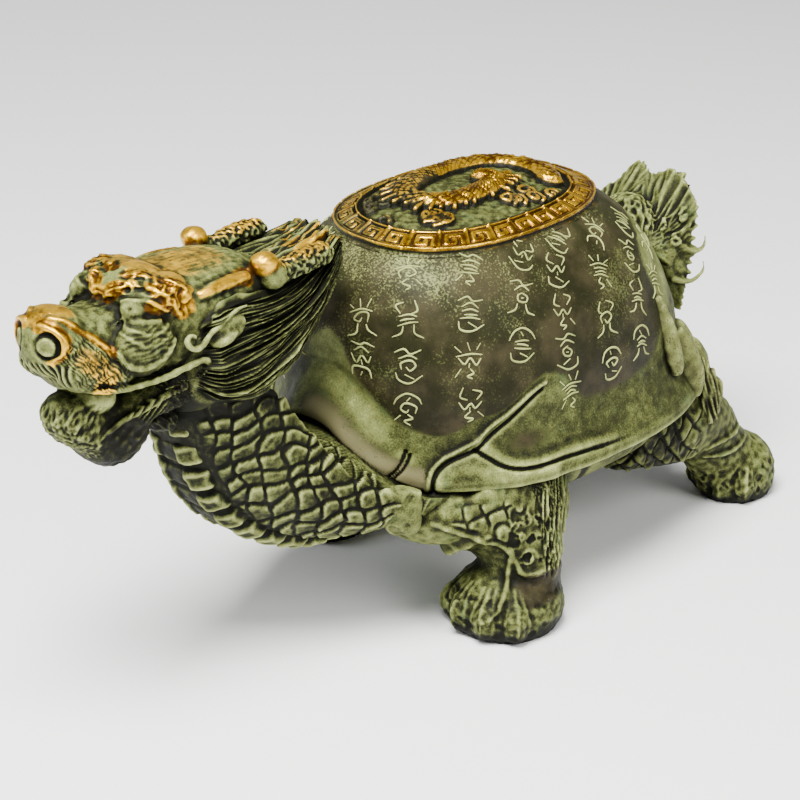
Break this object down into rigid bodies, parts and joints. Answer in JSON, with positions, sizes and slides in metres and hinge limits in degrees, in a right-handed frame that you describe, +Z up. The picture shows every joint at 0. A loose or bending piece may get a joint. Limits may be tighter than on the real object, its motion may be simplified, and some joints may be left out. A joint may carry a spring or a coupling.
{
  "type": "dragon turtle figure",
  "caption": "Small cast desk figure of a dragon turtle: horned dragon's head on a scaled neck, domed shell with a carved medallion and sign rows, stout clawed legs, flame tail.",
  "frame": {"origin": "on the ground under the middle of the figure's box", "axes": "+Z up, -Y the way the head looks, +X the figure's own left side"},
  "size_m": [0.0624, 0.1384, 0.067],
  "materials": {
    "bronze": "sage-green patina over dark brown metal, rubbed gold-brown on the head, the spine of the shell and the high edges"
  },
  "bodies": {
    "root": {"dragon_turtle": "bronze"}
  },
  "joints": []
}
